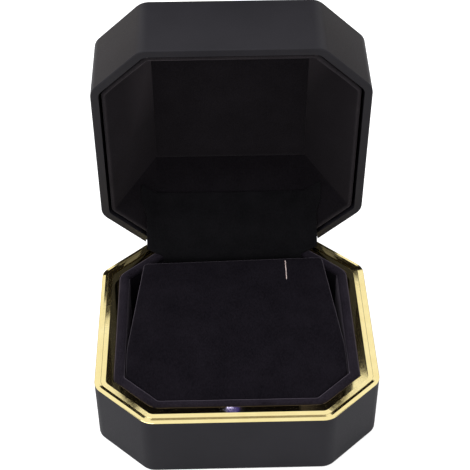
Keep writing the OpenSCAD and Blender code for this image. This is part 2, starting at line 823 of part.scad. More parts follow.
// The leads run from the board over the panel to the switch
module lead_wires() {
  top = lid_in_z - lead_r - clear;
  bend = 2 * lead_r;
  front = wall_t + 1.6 - half;
  back = switch_back - switch_d / 2;
  end = switch_z + switch_h + clear;
  color(lead_red)
    in_lid()
      for (x = [-2 * bend, 0]) {
        a = board_l / 2 - lead_r + x;
        b = switch_x + x;
        tube([[a, front, board_top_z()], [a, front, top - bend], [a, front + bend, top],
          [b, back - bend, top], [b, back, top - bend], [b, back, end]], lead_r, 12);
      }
}

// Height of the board's upper edge in the closed lid
function board_top_z() = liner_z + led_along * cos(front_lean)
  + (led_sink + led_l + board_gap + board_t) * sin(front_lean) + board_w / 2 * cos(front_lean);

base_shell();
foot_felt();
gold_rim();
tray_well();
tray_border();
pad_board();
pad_foam();
pad_cover();
hinge_strip();
base_leaf();
hinge_pin();
hinge_springs();
base_leaf_screws();
lid_shell();
lid_liner();
lid_panel();
lid_leaf();
lid_leaf_screws();
led_lamp();
led_bezel();
circuit_board();
coin_cell();
cell_clip();
switch_body();
switch_plunger();
lead_wires();
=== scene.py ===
from math import radians, sin, cos, tan, pi
import bpy
import bmesh
from mathutils import Vector, Matrix, noise


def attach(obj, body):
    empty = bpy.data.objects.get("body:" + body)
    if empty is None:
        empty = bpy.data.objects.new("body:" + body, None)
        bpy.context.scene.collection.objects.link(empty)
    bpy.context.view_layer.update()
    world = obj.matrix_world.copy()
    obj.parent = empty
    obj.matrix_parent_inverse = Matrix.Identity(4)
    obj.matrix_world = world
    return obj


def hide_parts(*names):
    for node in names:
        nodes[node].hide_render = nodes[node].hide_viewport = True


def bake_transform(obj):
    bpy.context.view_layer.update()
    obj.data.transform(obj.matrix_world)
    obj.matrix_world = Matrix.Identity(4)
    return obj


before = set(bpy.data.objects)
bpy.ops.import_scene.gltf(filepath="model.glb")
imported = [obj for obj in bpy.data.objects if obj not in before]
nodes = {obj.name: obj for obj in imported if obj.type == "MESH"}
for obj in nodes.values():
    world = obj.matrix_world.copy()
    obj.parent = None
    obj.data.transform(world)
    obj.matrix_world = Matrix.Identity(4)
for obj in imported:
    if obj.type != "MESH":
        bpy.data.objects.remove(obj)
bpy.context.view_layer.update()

mm = 0.001

# sizes that several pieces share, in millimetres, as the solids have them
box = {
    "half": 45.0,
    "cornerCut": 16.5,
    "cornerR": 6.2,
    "hingeY": 43.4,
    "hingeZ": 21.8,
    "openDeg": 80.0,
    "baseH": 21.4,
    "rimTop": 22.0,
    "ledgeTop": 21.65,
    "borderIn": 9.4,
    "linerIn": 4.4,
    "linerZ": 22.6,
    "panelX": 26.3,
    "panelFront": -25.8,
    "panelBack": 22.5,
    "panelZ": 43.85,
}
making = {
    "mergeGap": 2e-6,  # metres within which a solid's loose triangles are joined
    "flatWithin": 0.3,  # degrees between triangles that count as one flat face
    "sweepGap": 0.001,
    "cutGap": 0.0005,
    "levelWithin": 0.0001,
    "weldGap": 0.012,
}


def flatHalf(inset):  # half length of a flat of the octagon at an inset
    return box["half"] - box["cornerCut"] - inset * tan(pi / 8)


def inLid():  # carries the lid's pieces from their closed place to the open one
    h = Vector((0, box["hingeY"], box["hingeZ"]))
    return Matrix.Translation(h) @ Matrix.Rotation(radians(-box["openDeg"]), 4, "X") @ Matrix.Translation(-h)


def makePiece(bm, name, material, smoothTo=35, lid=False):
    if lid:
        bmesh.ops.transform(bm, matrix=inLid(), verts=bm.verts)
    bmesh.ops.scale(bm, vec=(mm, mm, mm), verts=bm.verts)
    mesh = bpy.data.meshes.new(name)
    bm.to_mesh(mesh)
    bm.free()
    mesh.shade_smooth()
    mesh.set_sharp_from_angle(angle=radians(smoothTo))
    piece = bpy.data.objects.new(name, mesh)
    bpy.context.scene.collection.objects.link(piece)
    for one in material if isinstance(material, list) else [material]:
        mesh.materials.append(one)
    return piece


def fitPiece(piece, body, node):
    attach(piece, body)
    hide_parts(node)


def solidify(piece, thickness, offset):
    mod = piece.modifiers.new("thickness", "SOLIDIFY")
    mod.thickness = thickness * mm
    mod.offset = offset
    mod.use_even_offset = True


def softenEdges(piece, width, segments=2, limit=40, clamp=True):
    mod = piece.modifiers.new("softEdges", "BEVEL")
    mod.width = width * mm
    mod.segments = segments
    mod.limit_method = "ANGLE"
    mod.angle_limit = radians(limit)
    mod.harden_normals = False
    mod.use_clamp_overlap = clamp
    weld = piece.modifiers.new("weld", "WELD")  # clears the slivers that a bevel leaves where it runs out
    weld.merge_threshold = making["weldGap"] * mm


def roundOff(bm, geom, offset, segments, affect="EDGES"):
    bmesh.ops.bevel(bm, geom=geom, offset=offset, offset_type="OFFSET", segments=segments, profile=0.5,
                    affect=affect, material=-1)


def isLevel(verts, z):
    return all(abs(v.co.z - z) < making["levelWithin"] for v in verts)


def pointsOf(geom):
    return [v for v in geom if isinstance(v, bmesh.types.BMVert)]


def edgesOf(geom):
    return [e for e in geom if isinstance(e, bmesh.types.BMEdge)]


# takes a profile of (distance out, height) points once round an octagon that lies inset from the box's outside
def sweepOctagon(bm, profile, inset, radius, steps=8):
    b, a = box["half"] - inset, flatHalf(inset)
    t = radius * tan(pi / 8)
    runs = ((b - a) / sin(pi / 4) - 2 * t, 2 * (a - t))
    row = [bm.verts.new((b + d, a - t, z)) for d, z in profile]
    last = row + [bm.edges.new((row[k - 1], row[k])) for k in range(len(row))]
    angle = 0
    for k in range(4):
        for centre, run in zip(((b - radius, a - t, 0), (a - t, b - radius, 0)), runs):
            middle = Matrix.Rotation(k * pi / 2, 3, "Z") @ Vector(centre)
            turned = bmesh.ops.spin(bm, geom=last, cent=middle, axis=(0, 0, 1), angle=pi / 4, steps=steps)
            angle += pi / 4
            grown = bmesh.ops.extrude_edge_only(bm, edges=edgesOf(turned["geom_last"]))["geom"]
            ends = pointsOf(grown)
            bmesh.ops.translate(bm, vec=(-sin(angle) * run, cos(angle) * run, 0), verts=ends)
            last = ends + [e for e in edgesOf(grown) if all(v in ends for v in e.verts)]
    bmesh.ops.remove_doubles(bm, verts=bm.verts, dist=making["sweepGap"])
    bmesh.ops.recalc_face_normals(bm, faces=bm.faces)


def cutAcross(bm, axis, start, stop, count):  # even cuts that give the surface points to move
    for k in range(count + 1):
        place = [0, 0, 0]
        place[axis] = start + (stop - start) * k / count
        normal = [0, 0, 0]
        normal[axis] = 1
        geom = bm.verts[:] + bm.edges[:] + bm.faces[:]
        bmesh.ops.bisect_plane(bm, geom=geom, dist=making["cutGap"], plane_co=place, plane_no=normal)


# the photograph's camera, in millimetres, degrees and pixels
camera = {
    "focalPx": 1404.315,
    "framePx": 470,
    "sensor": 36,
    "nearest": 10,
    "place": (-7.824, -347.762, 329.398),
    "yaw": 1.308,
    "pitch": 37.885,
    "roll": -0.253,
}


def setCamera():
    c = camera
    data = bpy.data.cameras.new("camera")
    cam = bpy.data.objects.new("camera", data)
    bpy.context.scene.collection.objects.link(cam)
    yaw, pitch, roll = radians(c["yaw"]), radians(c["pitch"]), radians(c["roll"])
    forward = Vector((sin(yaw) * cos(pitch), cos(yaw) * cos(pitch), -sin(pitch)))
    right = Vector((cos(yaw), -sin(yaw), 0))
    up = right.cross(forward)
    rolledRight = cos(roll) * right + sin(roll) * up
    rolledUp = -sin(roll) * right + cos(roll) * up
    turn = Matrix((rolledRight, rolledUp, -forward)).transposed().to_4x4()
    cam.matrix_world = Matrix.Translation(Vector(c["place"]) * mm) @ turn
    data.sensor_width = c["sensor"]
    data.lens = c["focalPx"] / c["framePx"] * c["sensor"]
    data.clip_start = c["nearest"] * mm
    bpy.context.scene.camera = cam
    print("camera: set")


setCamera()

grain = {"patchScale": 60, "grainScale": 1500, "patchDetail": 3, "grainDetail": 2, "roughness": 0.6}
nap = {"fibreScale": 2600, "patchScale": 140, "patchDetail": 4, "fibreDetail": 3, "fibreRoughness": 0.7,
       "lay": (1, 0.45, 0.8), "patchShare": 0.45}


def addSocket(group, name, kind, side="INPUT", value=None):
    socket = group.interface.new_socket(name=name, in_out=side, socket_type=kind)
    if value is not None:
        socket.default_value = value


def newGroup(name):
    group = bpy.data.node_groups.new(name, "ShaderNodeTree")
    return group, group.nodes.new("NodeGroupInput"), group.nodes.new("NodeGroupOutput")


def addNode(tree, kind, **values):
    node = tree.nodes.new("ShaderNode" + kind)
    for key, value in values.items():
        setattr(node, key, value)
    return node


def fineGrain():  # soft patches for the colour, and a fine grain for gloss and height
    group, given, out = newGroup("fineGrain")
    addSocket(group, "Patch Scale", "NodeSocketFloat", value=grain["patchScale"])
    addSocket(group, "Grain Scale", "NodeSocketFloat", value=grain["grainScale"])
    addSocket(group, "Patches", "NodeSocketFloat", "OUTPUT")
    addSocket(group, "Grain", "NodeSocketFloat", "OUTPUT")
    place = addNode(group, "TexCoord")
    kinds = (("Patches", "Patch Scale", grain["patchDetail"]), ("Grain", "Grain Scale", grain["grainDetail"]))
    for name, scaleName, detail in kinds:
        tex = addNode(group, "TexNoise")
        tex.inputs["Detail"].default_value = detail
        tex.inputs["Roughness"].default_value = grain["roughness"]
        group.links.new(place.outputs["Object"], tex.inputs["Vector"])
        group.links.new(given.outputs[scaleName], tex.inputs["Scale"])
        group.links.new(tex.outputs["Fac"], out.inputs[name])
    return group


def napPattern():  # brushed pile: short fibres that lie in soft patches
    group, given, out = newGroup("napPattern")
    addSocket(group, "Fibre Scale", "NodeSocketFloat", value=nap["fibreScale"])
    addSocket(group, "Patch Scale", "NodeSocketFloat", value=nap["patchScale"])
    addSocket(group, "Shade", "NodeSocketFloat", "OUTPUT")
    addSocket(group, "Height", "NodeSocketFloat", "OUTPUT")
    place = addNode(group, "TexCoord")
    patches = addNode(group, "TexNoise")
    patches.inputs["Detail"].default_value = nap["patchDetail"]
    fibres = addNode(group, "TexNoise")
    fibres.inputs["Detail"].default_value = nap["fibreDetail"]
    fibres.inputs["Roughness"].default_value = nap["fibreRoughness"]
    lay = addNode(group, "VectorMath", operation="MULTIPLY")
    lay.inputs[1].default_value = nap["lay"]
    mix = addNode(group, "Math", operation="MULTIPLY_ADD")
    mix.inputs[1].default_value = nap["patchShare"]
    group.links.new(place.outputs["Object"], patches.inputs["Vector"])
    group.links.new(place.outputs["Object"], lay.inputs[0])
    group.links.new(lay.outputs[0], fibres.inputs["Vector"])
    group.links.new(given.outputs["Patch Scale"], patches.inputs["Scale"])
    group.links.new(given.outputs["Fibre Scale"], fibres.inputs["Scale"])
    group.links.new(patches.outputs["Fac"], mix.inputs[0])
    group.links.new(fibres.outputs["Fac"], mix.inputs[2])
    group.links.new(mix.outputs[0], out.inputs["Shade"])
    group.links.new(fibres.outputs["Fac"], out.inputs["Height"])
    return group


grainGroup = fineGrain()
napGroup = napPattern()


def newFinish(name):
    material = bpy.data.materials.new(name)
    material.use_nodes = True
    return material, material.node_tree, material.node_tree.nodes["Principled BSDF"]


def placeGroup(tree, group, values):
    node = addNode(tree, "Group", node_tree=group)
    for key, value in values.items():
        node.inputs[key].default_value = value
    return node


def rampBetween(tree, source, low, high, start=0.35, stop=0.65):
    ramp = addNode(tree, "ValToRGB")
    ramp.color_ramp.elements[0].position = start
    ramp.color_ramp.elements[1].position = stop
    ramp.color_ramp.elements[0].color = (*low, 1)
    ramp.color_ramp.elements[1].color = (*high, 1)
    tree.links.new(source, ramp.inputs["Fac"])
    return ramp.outputs["Color"]


def rangeBetween(tree, source, low, high, start=0.3, stop=0.7):
    span = addNode(tree, "MapRange")
    span.inputs["From Min"].default_value = start
    span.inputs["From Max"].default_value = stop
    span.inputs["To Min"].default_value = low
    span.inputs["To Max"].default_value = high
    tree.links.new(source, span.inputs["Value"])
    return span.outputs["Result"]


def mixTowards(tree, share, colour, target):
    mix = addNode(tree, "Mix", data_type="RGBA")
    mix.inputs["B"].default_value = (*target, 1)
    tree.links.new(share, mix.inputs["Factor"])
    tree.links.new(colour, mix.inputs["A"])
    return mix.outputs["Result"]


def alongDirection(tree, source, direction):  # how far a point lies along a direction
    part = addNode(tree, "VectorMath", operation="DOT_PRODUCT")
    part.inputs[1].default_value = direction
    tree.links.new(source, part.inputs[0])
    return part.outputs["Value"]


def addBump(tree, shader, source, distance):
    bump = addNode(tree, "Bump")
    bump.inputs["Strength"].default_value = 1.0
    bump.inputs["Distance"].default_value = distance * mm
    tree.links.new(source, bump.inputs["Height"])
    tree.links.new(bump.outputs["Normal"], shader.inputs["Normal"])


def plainFinish(name, s):  # lacquer, plastic, metal and the like
    material, tree, shader = newFinish(name)
    cover = placeGroup(tree, grainGroup, {"Patch Scale": s["patchScale"], "Grain Scale": s["grainScale"]})
    tree.links.new(rampBetween(tree, cover.outputs["Patches"], s["dark"], s["light"]), shader.inputs["Base Color"])
    tree.links.new(rangeBetween(tree, cover.outputs["Grain"], *s["roughness"]), shader.inputs["Roughness"])
    addBump(tree, shader, cover.outputs["Grain"], s["bump"])
    shader.inputs["Metallic"].default_value = s.get("metallic", 0)
    shader.inputs["Specular IOR Level"].default_value = s.get("specular", 0.5)
    shader.inputs["Sheen Weight"].default_value = s.get("sheen", 0)
    return material


def lipSheenShare(tree, shade, lip):  # painted sheen: a lighter colour along the edge of the lid's lining, broken up by the pile's patches
    inward = inLid().to_3x3() @ Vector((0, 0, 1))
    start = box["linerZ"] - box["hingeZ"] + inward.dot((0, box["hingeY"], box["hingeZ"]))
    place = addNode(tree, "TexCoord")
    depth = alongDirection(tree, place.outputs["Object"], inward)
    near = rangeBetween(tree, depth, 1, 0, start * mm, (start + lip["width"]) * mm)
    patchySheen = rangeBetween(tree, shade, lip["least"], 1, *lip["shadeSpan"])
    share = addNode(tree, "Math", operation="MULTIPLY")
    tree.links.new(near, share.inputs[0])
    tree.links.new(patchySheen, share.inputs[1])
    return share.outputs[0]


def velvetFinish(name, s):  # painted sheen: the pile is coloured lighter where it is seen from the side
    material, tree, shader = newFinish(name)
    cover = placeGroup(tree, napGroup, {"Fibre Scale": s["fibreScale"], "Patch Scale": s["patchScale"]})
    facing = addNode(tree, "LayerWeight")
    facing.inputs["Blend"].default_value = 0.5
    # painted sheen: how far the colour goes towards the lighter edge colour, by how edge-on the surface is seen
    edge = rangeBetween(tree, facing.outputs["Facing"], 0, s["paintedSheenShare"], s["paintedSheenFrom"], 1.0)
    colour = rampBetween(tree, cover.outputs["Shade"], s["dark"], s["light"], *s["shadeSpan"])
    colour = mixTowards(tree, edge, colour, s["edge"])
    # painted sheen along the lining's lip
    if "lip" in s:
        colour = mixTowards(tree, lipSheenShare(tree, cover.outputs["Shade"], s["lip"]), colour, s["lip"]["colour"])
    tree.links.new(colour, shader.inputs["Base Color"])
    shader.inputs["Roughness"].default_value = s["roughness"]
    shader.inputs["Specular IOR Level"].default_value = s["specular"]
    shader.inputs["Sheen Weight"].default_value = s["sheen"]
    shader.inputs["Sheen Roughness"].default_value = s["sheenRoughness"]
    shader.inputs["Sheen Tint"].default_value = (*s["sheenTint"], 1)
    addBump(tree, shader, cover.outputs["Height"], s["bump"])
    return material


finishes = {
    "softBlack": {"dark": (0.0108, 0.0099, 0.0138), "light": (0.0142, 0.0131, 0.0178), "patchScale": 45,
                  "grainScale": 2400, "roughness": (0.42, 0.52), "bump": 0.006, "specular": 0.26},
    "goldPlate": {"dark": (0.93, 0.775, 0.36), "light": (0.985, 0.85, 0.43), "patchScale": 90,
                  "grainScale": 1200, "roughness": (0.04, 0.075), "bump": 0.0004, "metallic": 1},
    "steel": {"dark": (0.5, 0.5, 0.52), "light": (0.62, 0.62, 0.64), "patchScale": 200,
              "grainScale": 1800, "roughness": (0.25, 0.4), "bump": 0.004, "metallic": 1},
    "blackPlastic": {"dark": (0.014, 0.014, 0.015), "light": (0.02, 0.02, 0.022), "patchScale": 120,
                     "grainScale": 3000, "roughness": (0.3, 0.42), "bump": 0.008},
    "whitePlastic": {"dark": (0.6, 0.6, 0.58), "light": (0.7, 0.7, 0.68), "patchScale": 120,
                     "grainScale": 3000, "roughness": (0.3, 0.42), "bump": 0.008},
    "board": {"dark": (0.02, 0.12, 0.045), "light": (0.035, 0.17, 0.065), "patchScale": 300,
              "grainScale": 2500, "roughness": (0.25, 0.4), "bump": 0.01},
    "lead": {"dark": (0.32, 0.02, 0.02), "light": (0.42, 0.035, 0.03), "patchScale": 200,
             "grainScale": 2500, "roughness": (0.4, 0.55), "bump": 0.01},
    "card": {"dark": (0.26, 0.2, 0.14), "light": (0.36, 0.29, 0.21), "patchScale": 400,
             "grainScale": 3500, "roughness": (0.8, 0.95), "bump": 0.03},
    "foam": {"dark": (0.84, 0.72, 0.7), "light": (0.95, 0.86, 0.84), "patchScale": 700,
             "grainScale": 4000, "roughness": (0.85, 0.95), "bump": 0.08},
    "felt": {"dark": (0.009, 0.0085, 0.01), "light": (0.02, 0.019, 0.021), "patchScale": 500,
             "grainScale": 4500, "roughness": (0.9, 1.0), "bump": 0.08, "specular": 0.1, "sheen": 0.15},
}
# each pile's edge colour, with its share and where it starts, is a painted sheen, mixed in where the pile is seen
# edge-on
anyPile = {"fibreScale": 2600, "shadeSpan": (0.5, 0.95), "paintedSheenShare": 0.9, "paintedSheenFrom": 0.6, "roughness": 0.95,
           "specular": 0.03, "sheenRoughness": 0.42, "bump": 0.05}
liningPile = {**anyPile, "fibreScale": 2400, "patchScale": 90, "edge": (0.1, 0.085, 0.094), "paintedSheenShare": 0.85,
              "paintedSheenFrom": 0.55, "specular": 0.04, "sheen": 0.1, "sheenRoughness": 0.5,
              "sheenTint": (0.95, 0.84, 0.92)}
# one velvet in five copies, each set lighter or darker for the light its place gets, which is painted light and shade;
# the border's and the roof panel's copies are the lighter, lit ones
velvets = {
    "velvet": {**anyPile, "dark": (0.0032, 0.0026, 0.0042), "light": (0.0105, 0.0088, 0.0126), "patchScale": 120,
               "edge": (0.2, 0.17, 0.21), "sheen": 0.055, "sheenTint": (0.88, 0.8, 0.95)},
    "litBorderVelvet": {**anyPile, "dark": (0.0075, 0.0061, 0.0092), "light": (0.0222, 0.0182, 0.0258),
                     "patchScale": 150, "edge": (0.17, 0.142, 0.178), "sheen": 0.07,
                     "sheenTint": (0.86, 0.78, 0.98)},
    # the lip colour is a painted sheen along the edge of the lining
    "liningVelvet": {**liningPile, "dark": (0.003, 0.0025, 0.0034), "light": (0.009, 0.0078, 0.0098),
                     "lip": {"width": 0.9, "least": 0.3, "shadeSpan": (0.5, 0.95), "colour": (0.034, 0.03, 0.033)}},
    "litPanelVelvet": {**liningPile, "dark": (0.0042, 0.0036, 0.0046), "light": (0.0122, 0.0106, 0.013)},
    "stripVelvet": {**anyPile, "dark": (0.0038, 0.0038, 0.0043), "light": (0.0094, 0.009, 0.0104),
                    "fibreScale": 3000, "patchScale": 150, "edge": (0.08, 0.07, 0.08), "paintedSheenShare": 0.8,
                    "specular": 0.02, "sheen": 0.03, "sheenRoughness": 0.4, "sheenTint": (0.9, 0.85, 0.95),
                    "bump": 0.04},
}
finish = {name: plainFinish(name, settings) for name, settings in finishes.items()}
finish.update({name: velvetFinish(name, settings) for name, settings in velvets.items()})

# the lit chip is a short bar across the lens, which fades out from its middle
lamp = {
    "dark": (0.03, 0.034, 0.07),
    "light": (0.05, 0.056, 0.1),
    "patchScale": 300,
    "grainScale": 3000,
    "roughness": (0.1, 0.2),
    "core": (0.32, 0.34, 1.0),
    "rim": (0.0035, 0.0028, 0.026),
    "strength": 15.0,
    "centre": (-1.7, 41.02, 101.25),
    "slope": (0, 0.907, -0.42),
    "radius": 0.55,
    "fullTo": 0.45,  # share of the radius that is fully lit
    "acrossShare": 0.23,
}


def lampFinish():
    s = lamp
    material, tree, shader = newFinish("lampLens")
    cover = placeGroup(tree, grainGroup, {"Patch Scale": s["patchScale"], "Grain Scale": s["grainScale"]})
    tree.links.new(rampBetween(tree, cover.outputs["Patches"], s["dark"], s["light"]), shader.inputs["Base Color"])
    tree.links.new(rangeBetween(tree, cover.outputs["Grain"], *s["roughness"]), shader.inputs["Roughness"])
    place = addNode(tree, "TexCoord")
    offset = addNode(tree, "VectorMath", operation="SUBTRACT")
    offset.inputs[1].default_value = [c * mm for c in s["centre"]]
    tree.links.new(place.outputs["Object"], offset.inputs[0])
    flat = addNode(tree, "CombineXYZ")
    tree.links.new(alongDirection(tree, offset.outputs["Vector"], s["slope"]), flat.inputs["X"])
    tree.links.new(alongDirection(tree, offset.outputs["Vector"], (s["acrossShare"], 0, 0)), flat.inputs["Y"])
    away = addNode(tree, "VectorMath", operation="LENGTH")
    tree.links.new(flat.outputs["Vector"], away.inputs[0])
    radius = s["radius"] * mm
    share = rangeBetween(tree, away.outputs["Value"], 0, 1, s["fullTo"] * radius, radius)
    tree.links.new(rampBetween(tree, share, s["core"], s["rim"], 0, 1), shader.inputs["Emission Color"])
    shader.inputs["Emission Strength"].default_value = s["strength"]
    return material


finish["lamp"] = lampFinish()
print("finishes:", len(finish))


def solidMesh(name, side=0):  # a solid's own mesh, or the half of it that lies on one side of the middle
    bm = bmesh.new()
    bm.from_mesh(nodes[name].data)
    bmesh.ops.delete(bm, geom=[v for v in bm.verts if v.co.x * side < 0], context="VERTS")
    bmesh.ops.remove_doubles(bm, verts=bm.verts, dist=making["mergeGap"])
    return bm


def copySolid(name, s):
    bm = solidMesh(name)
    bmesh.ops.dissolve_limit(bm, angle_limit=radians(making["flatWithin"]), verts=bm.verts, edges=bm.edges)
    bmesh.ops.scale(bm, vec=(1 / mm, 1 / mm, 1 / mm), verts=bm.verts)
    piece = makePiece(bm, s["piece"], finish[s["finish"]], s["smoothTo"])
    if s["edge"]:
        softenEdges(piece, s["edge"])
    fitPiece(piece, s["body"], name)


# these keep the solid's shape, with softened edges
softened = {
    "base_shell": {"piece": "baseShell", "finish": "softBlack", "body": "base", "slot": "soft_black",
                   "edge": 0.12, "smoothTo": 25},
    "lid_shell": {"piece": "lidShell", "finish": "softBlack", "body": "lid", "slot": "soft_black",
                  "edge": 0.12, "smoothTo": 25},
    "foot_felt": {"piece": "footFelt", "finish": "felt", "body": "base", "slot": "felt", "edge": 0.15, "smoothTo": 30},
    "pad_foam": {"piece": "foamCore", "finish": "foam", "body": "base", "slot": "foam", "edge": 0, "smoothTo": 60},
}
for name, settings in softened.items():
    copySolid(name, settings)

# these show as they are, and only get a finish
hardware = {
    "base_leaf": "steel", "hinge_pin": "steel", "base_leaf_screws": "steel", "lid_leaf": "steel",
    "lid_leaf_screws": "steel", "led_lamp": "lamp", "led_bezel": "blackPlastic", "circuit_board": "board",
    "coin_cell": "steel", "cell_clip": "steel", "switch_body": "blackPlastic", "switch_plunger": "whitePlastic",
    "lead_wires": "lead", "pad_board": "card",
}
for name, key in hardware.items():
    nodes[name].data.materials.clear()
    nodes[name].data.materials.append(finish[key])

springs = {"baseEnd": 14.3, "lidEnd": 18.4, "smoothTo": 50}


def makeSprings():  # each spring becomes a piece of its own, made from the half of the solid on its side
    for side, name in ((-1, "leftSpring"), (1, "rightSpring")):
        bm = solidMesh("hinge_springs", side)
        bmesh.ops.scale(bm, vec=(1 / mm, 1 / mm, 1 / mm), verts=bm.verts)
        piece = makePiece(bm, name, finish["steel"], springs["smoothTo"])
        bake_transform(piece)
        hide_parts("hinge_springs")


makeSprings()
print("shells and hardware: dressed")

rim = {
    "bandW": 3.65,
    "seatDip": 0.1,
    "edgeH": 0.12,
    "edgeRise": 0.04,
    "edgeRun": 0.12,
    "bevelW": 1.15,
    "bevelRise": 0.23,
    "faceW": 0.85,
    "faceRise": 0.07,
    "lineW": 0.1,
    "lineD": 0.02,
    "lineFlank": 0.3,  # share of the line's width that each of its sides takes
    "crownRise": 0.6,
    "crownIn": 0.05,
    "crownDrop": 0.06,
    "ledgeW": 2.4,
    "ledgeT": 0.8,
    "ledgeLap": 0.3,
    "ledgeEdge": 0.12,
    "ledgeCornerR": 2.55,
    "cornerSteps": 10,
    "sharpFrom": 5.5,
    "gapX": 25.6,
    "gapY": 41.2,
    "cutGap": 0.0001,
    "pull": 0.75,
    "pullFrom": -36.9,
    "pullTo": -40.5,
    "pullRun": 2.1,
    "pullAbove": 20,
}


def pullFront(bm):  # at the front the ledge runs a little further in, and the border with it
    r = rim
    for v in bm.verts:
        if v.co.z > r["pullAbove"] and r["pullTo"] < v.co.y < r["pullFrom"]:
            v.co.y += r["pull"] * min(1, (r["pullFrom"] - v.co.y) / r["pullRun"])


def makeRim():
    r = rim
    base, w = box["baseH"], r["bandW"]
    edgeZ = base + r["edgeH"]
    bevelZ = edgeZ + r["bevelRise"]
    faceZ = bevelZ + r["faceRise"]
    inner = w - r["bevelW"] - r["faceW"]
    band = [
        (0, base - r["seatDip"]), (w, base), (w, base + 0.5 * r["edgeH"]), (w - r["edgeRise"], edgeZ),
        (w - r["edgeRun"], edgeZ + r["edgeRise"]), (w - r["bevelW"], bevelZ), (inner, faceZ),
        (inner - r["lineFlank"] * r["lineW"], faceZ - r["lineD"]),
        (inner - (1 - r["lineFlank"]) * r["lineW"], faceZ - r["lineD"]), (inner - r["lineW"], faceZ),
        (r["crownIn"], base + r["crownRise"]), (0, base + r["crownRise"] - r["crownDrop"]),
    ]
    top, low = box["ledgeTop"], box["ledgeTop"] - r["ledgeT"]
    ledge = [(r["ledgeLap"], low), (r["ledgeLap"], top), (-r["ledgeW"] + r["ledgeEdge"], top),
             (-r["ledgeW"], top - r["ledgeEdge"]), (-r["ledgeW"], low)]
    bm = bmesh.new()
    sweepOctagon(bm, band, w, box["cornerR"] - w, r["cornerSteps"])
    for side in (-1, 1):  # the band is open at the back, where the hinge stands
        geom = bm.verts[:] + bm.edges[:] + bm.faces[:]
        bmesh.ops.bisect_plane(bm, geom=geom, dist=r["cutGap"], plane_co=(side * r["gapX"], 0, 0), plane_no=(1, 0, 0))
    middles = {f: f.calc_center_median() for f in bm.faces}
    gone = [f for f, middle in middles.items() if abs(middle.x) < r["gapX"] and middle.y > r["gapY"]]
    bmesh.ops.delete(bm, geom=gone, context="FACES")
    bmesh.ops.holes_fill(bm, edges=[e for e in bm.edges if e.is_boundary], sides=0)
    sweepOctagon(bm, ledge, w, r["ledgeCornerR"], r["cornerSteps"])
    pullFront(bm)
    piece = makePiece(bm, "goldRim", finish["goldPlate"], r["sharpFrom"])
    fitPiece(piece, "base", "gold_rim")
    print("gold rim:", len(piece.data.polygons), "faces")


makeRim()

tray = {
    "z": 4.5,
    "floorT": 1.0,
    "floorLap": 1.5,
    "flangeTop": 20.8,
    "flangeW": 3.05,
    "wallT": 1.0,
    "cornerR": 2.0,
    "cornerSteps": 5,
    "softR": 0.3,
    "softSteps": 3,
    "ringSpare": 0.1,
}
border = {
    "width": 3.42,
    "height": 1.9,
    "footIn": 0.12,
    "footLift": 0.02,
    "sideH": 0.15,
    "topCut": 0.17,
    "fullness": 0.75,
    "points": 12,
    "cornerSteps": 6,
    "cuts": 24,
    "cutTo": 36,
    "wave": 0.05,
    "waveFrom": 0.2,
    "waveScales": (0.16, 0.35),
    "smoothTo": 60,
    "fill": 0.8,
}


def makeTray():
    t = tray
    top, low, wall = t["flangeTop"], t["z"], t["wallT"]
    bm = bmesh.new()
    profile = [(0, low + t["floorT"]), (0, top), (t["flangeW"], top), (t["flangeW"], top - wall), (wall, top - wall),
               (wall, low), (-t["floorLap"], low), (-t["floorLap"], low + t["floorT"])]
    sweepOctagon(bm, profile, box["borderIn"], t["cornerR"], t["cornerSteps"])
    inside = box["half"] - box["borderIn"] - t["floorLap"] + t["ringSpare"]

    def isInner(verts):
        return all(max(abs(v.co.x), abs(v.co.y)) < inside for v in verts)

    for z in (low, low + t["floorT"]):  # the floor inside the ring of walls
        ringEdges = [e for e in bm.edges if isLevel(e.verts, z) and isInner(e.verts)]
        bmesh.ops.edgeloop_fill(bm, edges=ringEdges)
    walls = [f for f in bm.faces if abs(f.normal.z) < 0.5 and isInner(f.verts)]
    bmesh.ops.delete(bm, geom=walls, context="FACES")
    bmesh.ops.recalc_face_normals(bm, faces=bm.faces)
    piece = makePiece(bm, "trayWell", finish["velvet"])
    softenEdges(piece, t["softR"], t["softSteps"])
    fitPiece(piece, "base", "tray_well")


def makeBorder():
    b = border
    foot, half = tray["flangeTop"] + b["footLift"], 0.5 * b["width"]
    profile = [(b["footIn"], foot), (half, foot), (b["width"] - b["footIn"], foot)]
    for k in range(b["points"] + 1):
        a = pi * k / b["points"]
        rise = (b["height"] - b["topCut"]) * sin(a) ** b["fullness"]
        profile.append((half * (1 + cos(a)), foot + b["sideH"] + rise))
    bm = bmesh.new()
    sweepOctagon(bm, profile, box["borderIn"], tray["cornerR"], b["cornerSteps"])
    for axis in (0, 1):
        cutAcross(bm, axis, -b["cutTo"], b["cutTo"], b["cuts"])
    slow, quick = b["waveScales"]
    for v in bm.verts:  # the padding is never quite even
        if v.co.z > foot + b["waveFrom"]:
            v.co.z += b["wave"] * noise.noise(v.co * slow)
            v.co += v.normal * b["wave"] * noise.noise(v.co * quick)
    pullFront(bm)
    # the border's copy of the velvet is made lighter: painted light
    piece = makePiece(bm, "trayBorder", finish["litBorderVelvet"], b["smoothTo"])
    fitPiece(piece, "base", "tray_border")


makeTray()
makeBorder()
print("tray: made")

